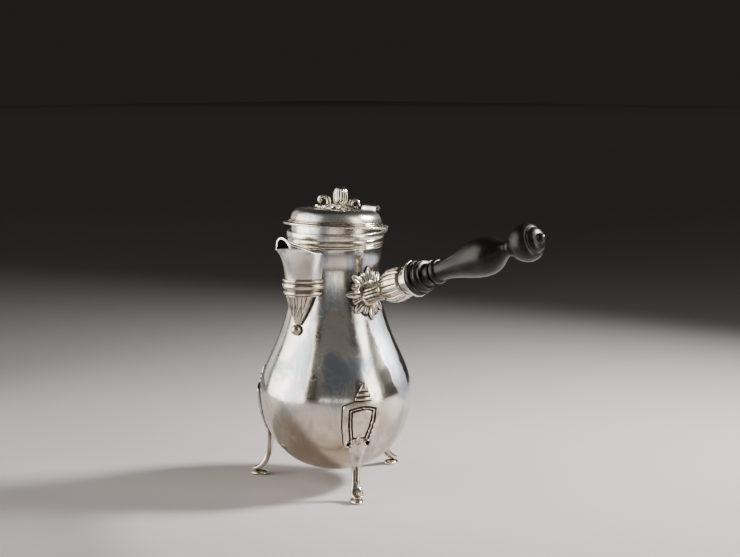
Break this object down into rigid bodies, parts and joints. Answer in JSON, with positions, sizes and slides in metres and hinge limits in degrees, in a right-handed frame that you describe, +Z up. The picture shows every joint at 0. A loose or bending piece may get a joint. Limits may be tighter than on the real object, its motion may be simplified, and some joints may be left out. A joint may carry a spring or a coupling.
{
  "type": "side-handled chocolate pot",
  "caption": "Pear-shaped silver chocolate pot on three cast legs, with a short hooded spout, a hinged lid with a swivelling finial and a turned dark wood side handle.",
  "frame": {"origin": "on the axis of the body, level with the table that the three feet stand on", "axes": "+Z up along the body's axis, -Y towards the spout, +Y towards the lid hinge, +X towards the side handle"},
  "size_m": [0.2692, 0.1374, 0.24],
  "materials": {
    "silver": "hand-polished sheet silver, lightly scratched and toned",
    "cast_silver": "cast and chased silver with dark tarnish in its recesses",
    "ebonised_wood": "turned hardwood stained black and polished"
  },
  "bodies": {
    "pot": {"body_shell": "silver", "rim_band": "silver", "neck_moulding": "silver", "spout": "silver", "spout_reeds": "silver", "spout_leaves": "cast_silver", "spout_pearl": "cast_silver", "leg_front": "cast_silver", "leg_left": "cast_silver", "leg_back": "cast_silver", "handle_rosette": "cast_silver", "handle_socket": "cast_silver", "socket_ring": "silver", "handle_grip": "ebonised_wood", "handle_pin": "silver", "hinge_bracket": "silver", "hinge_pin": "silver"},
    "lid": {"lid_shell": "silver", "lid_moulding": "silver", "lid_bezel": "silver", "lid_strap": "silver", "thumbpiece": "silver", "finial_rivet": "silver", "rivet_burr": "silver"},
    "finial": {"finial_plate": "silver", "finial_leaves": "cast_silver", "finial_fruit": "cast_silver", "finial_stalk": "cast_silver", "finial_curl": "cast_silver"}
  },
  "joints": [
    {"name": "lid_hinge", "type": "hinge", "parent": "pot", "child": "lid", "pos_m": [0, 0.0448, 0.2034], "axis": [-1, 0, 0], "range_deg": [-3.9, 96]},
    {"name": "finial_swivel", "type": "hinge", "parent": "lid", "child": "finial", "pos_m": [-0.0135, 0.00104, 0.22021], "axis": [0, 0.068, 0.9977], "range_deg": [0, 150]}
  ]
}
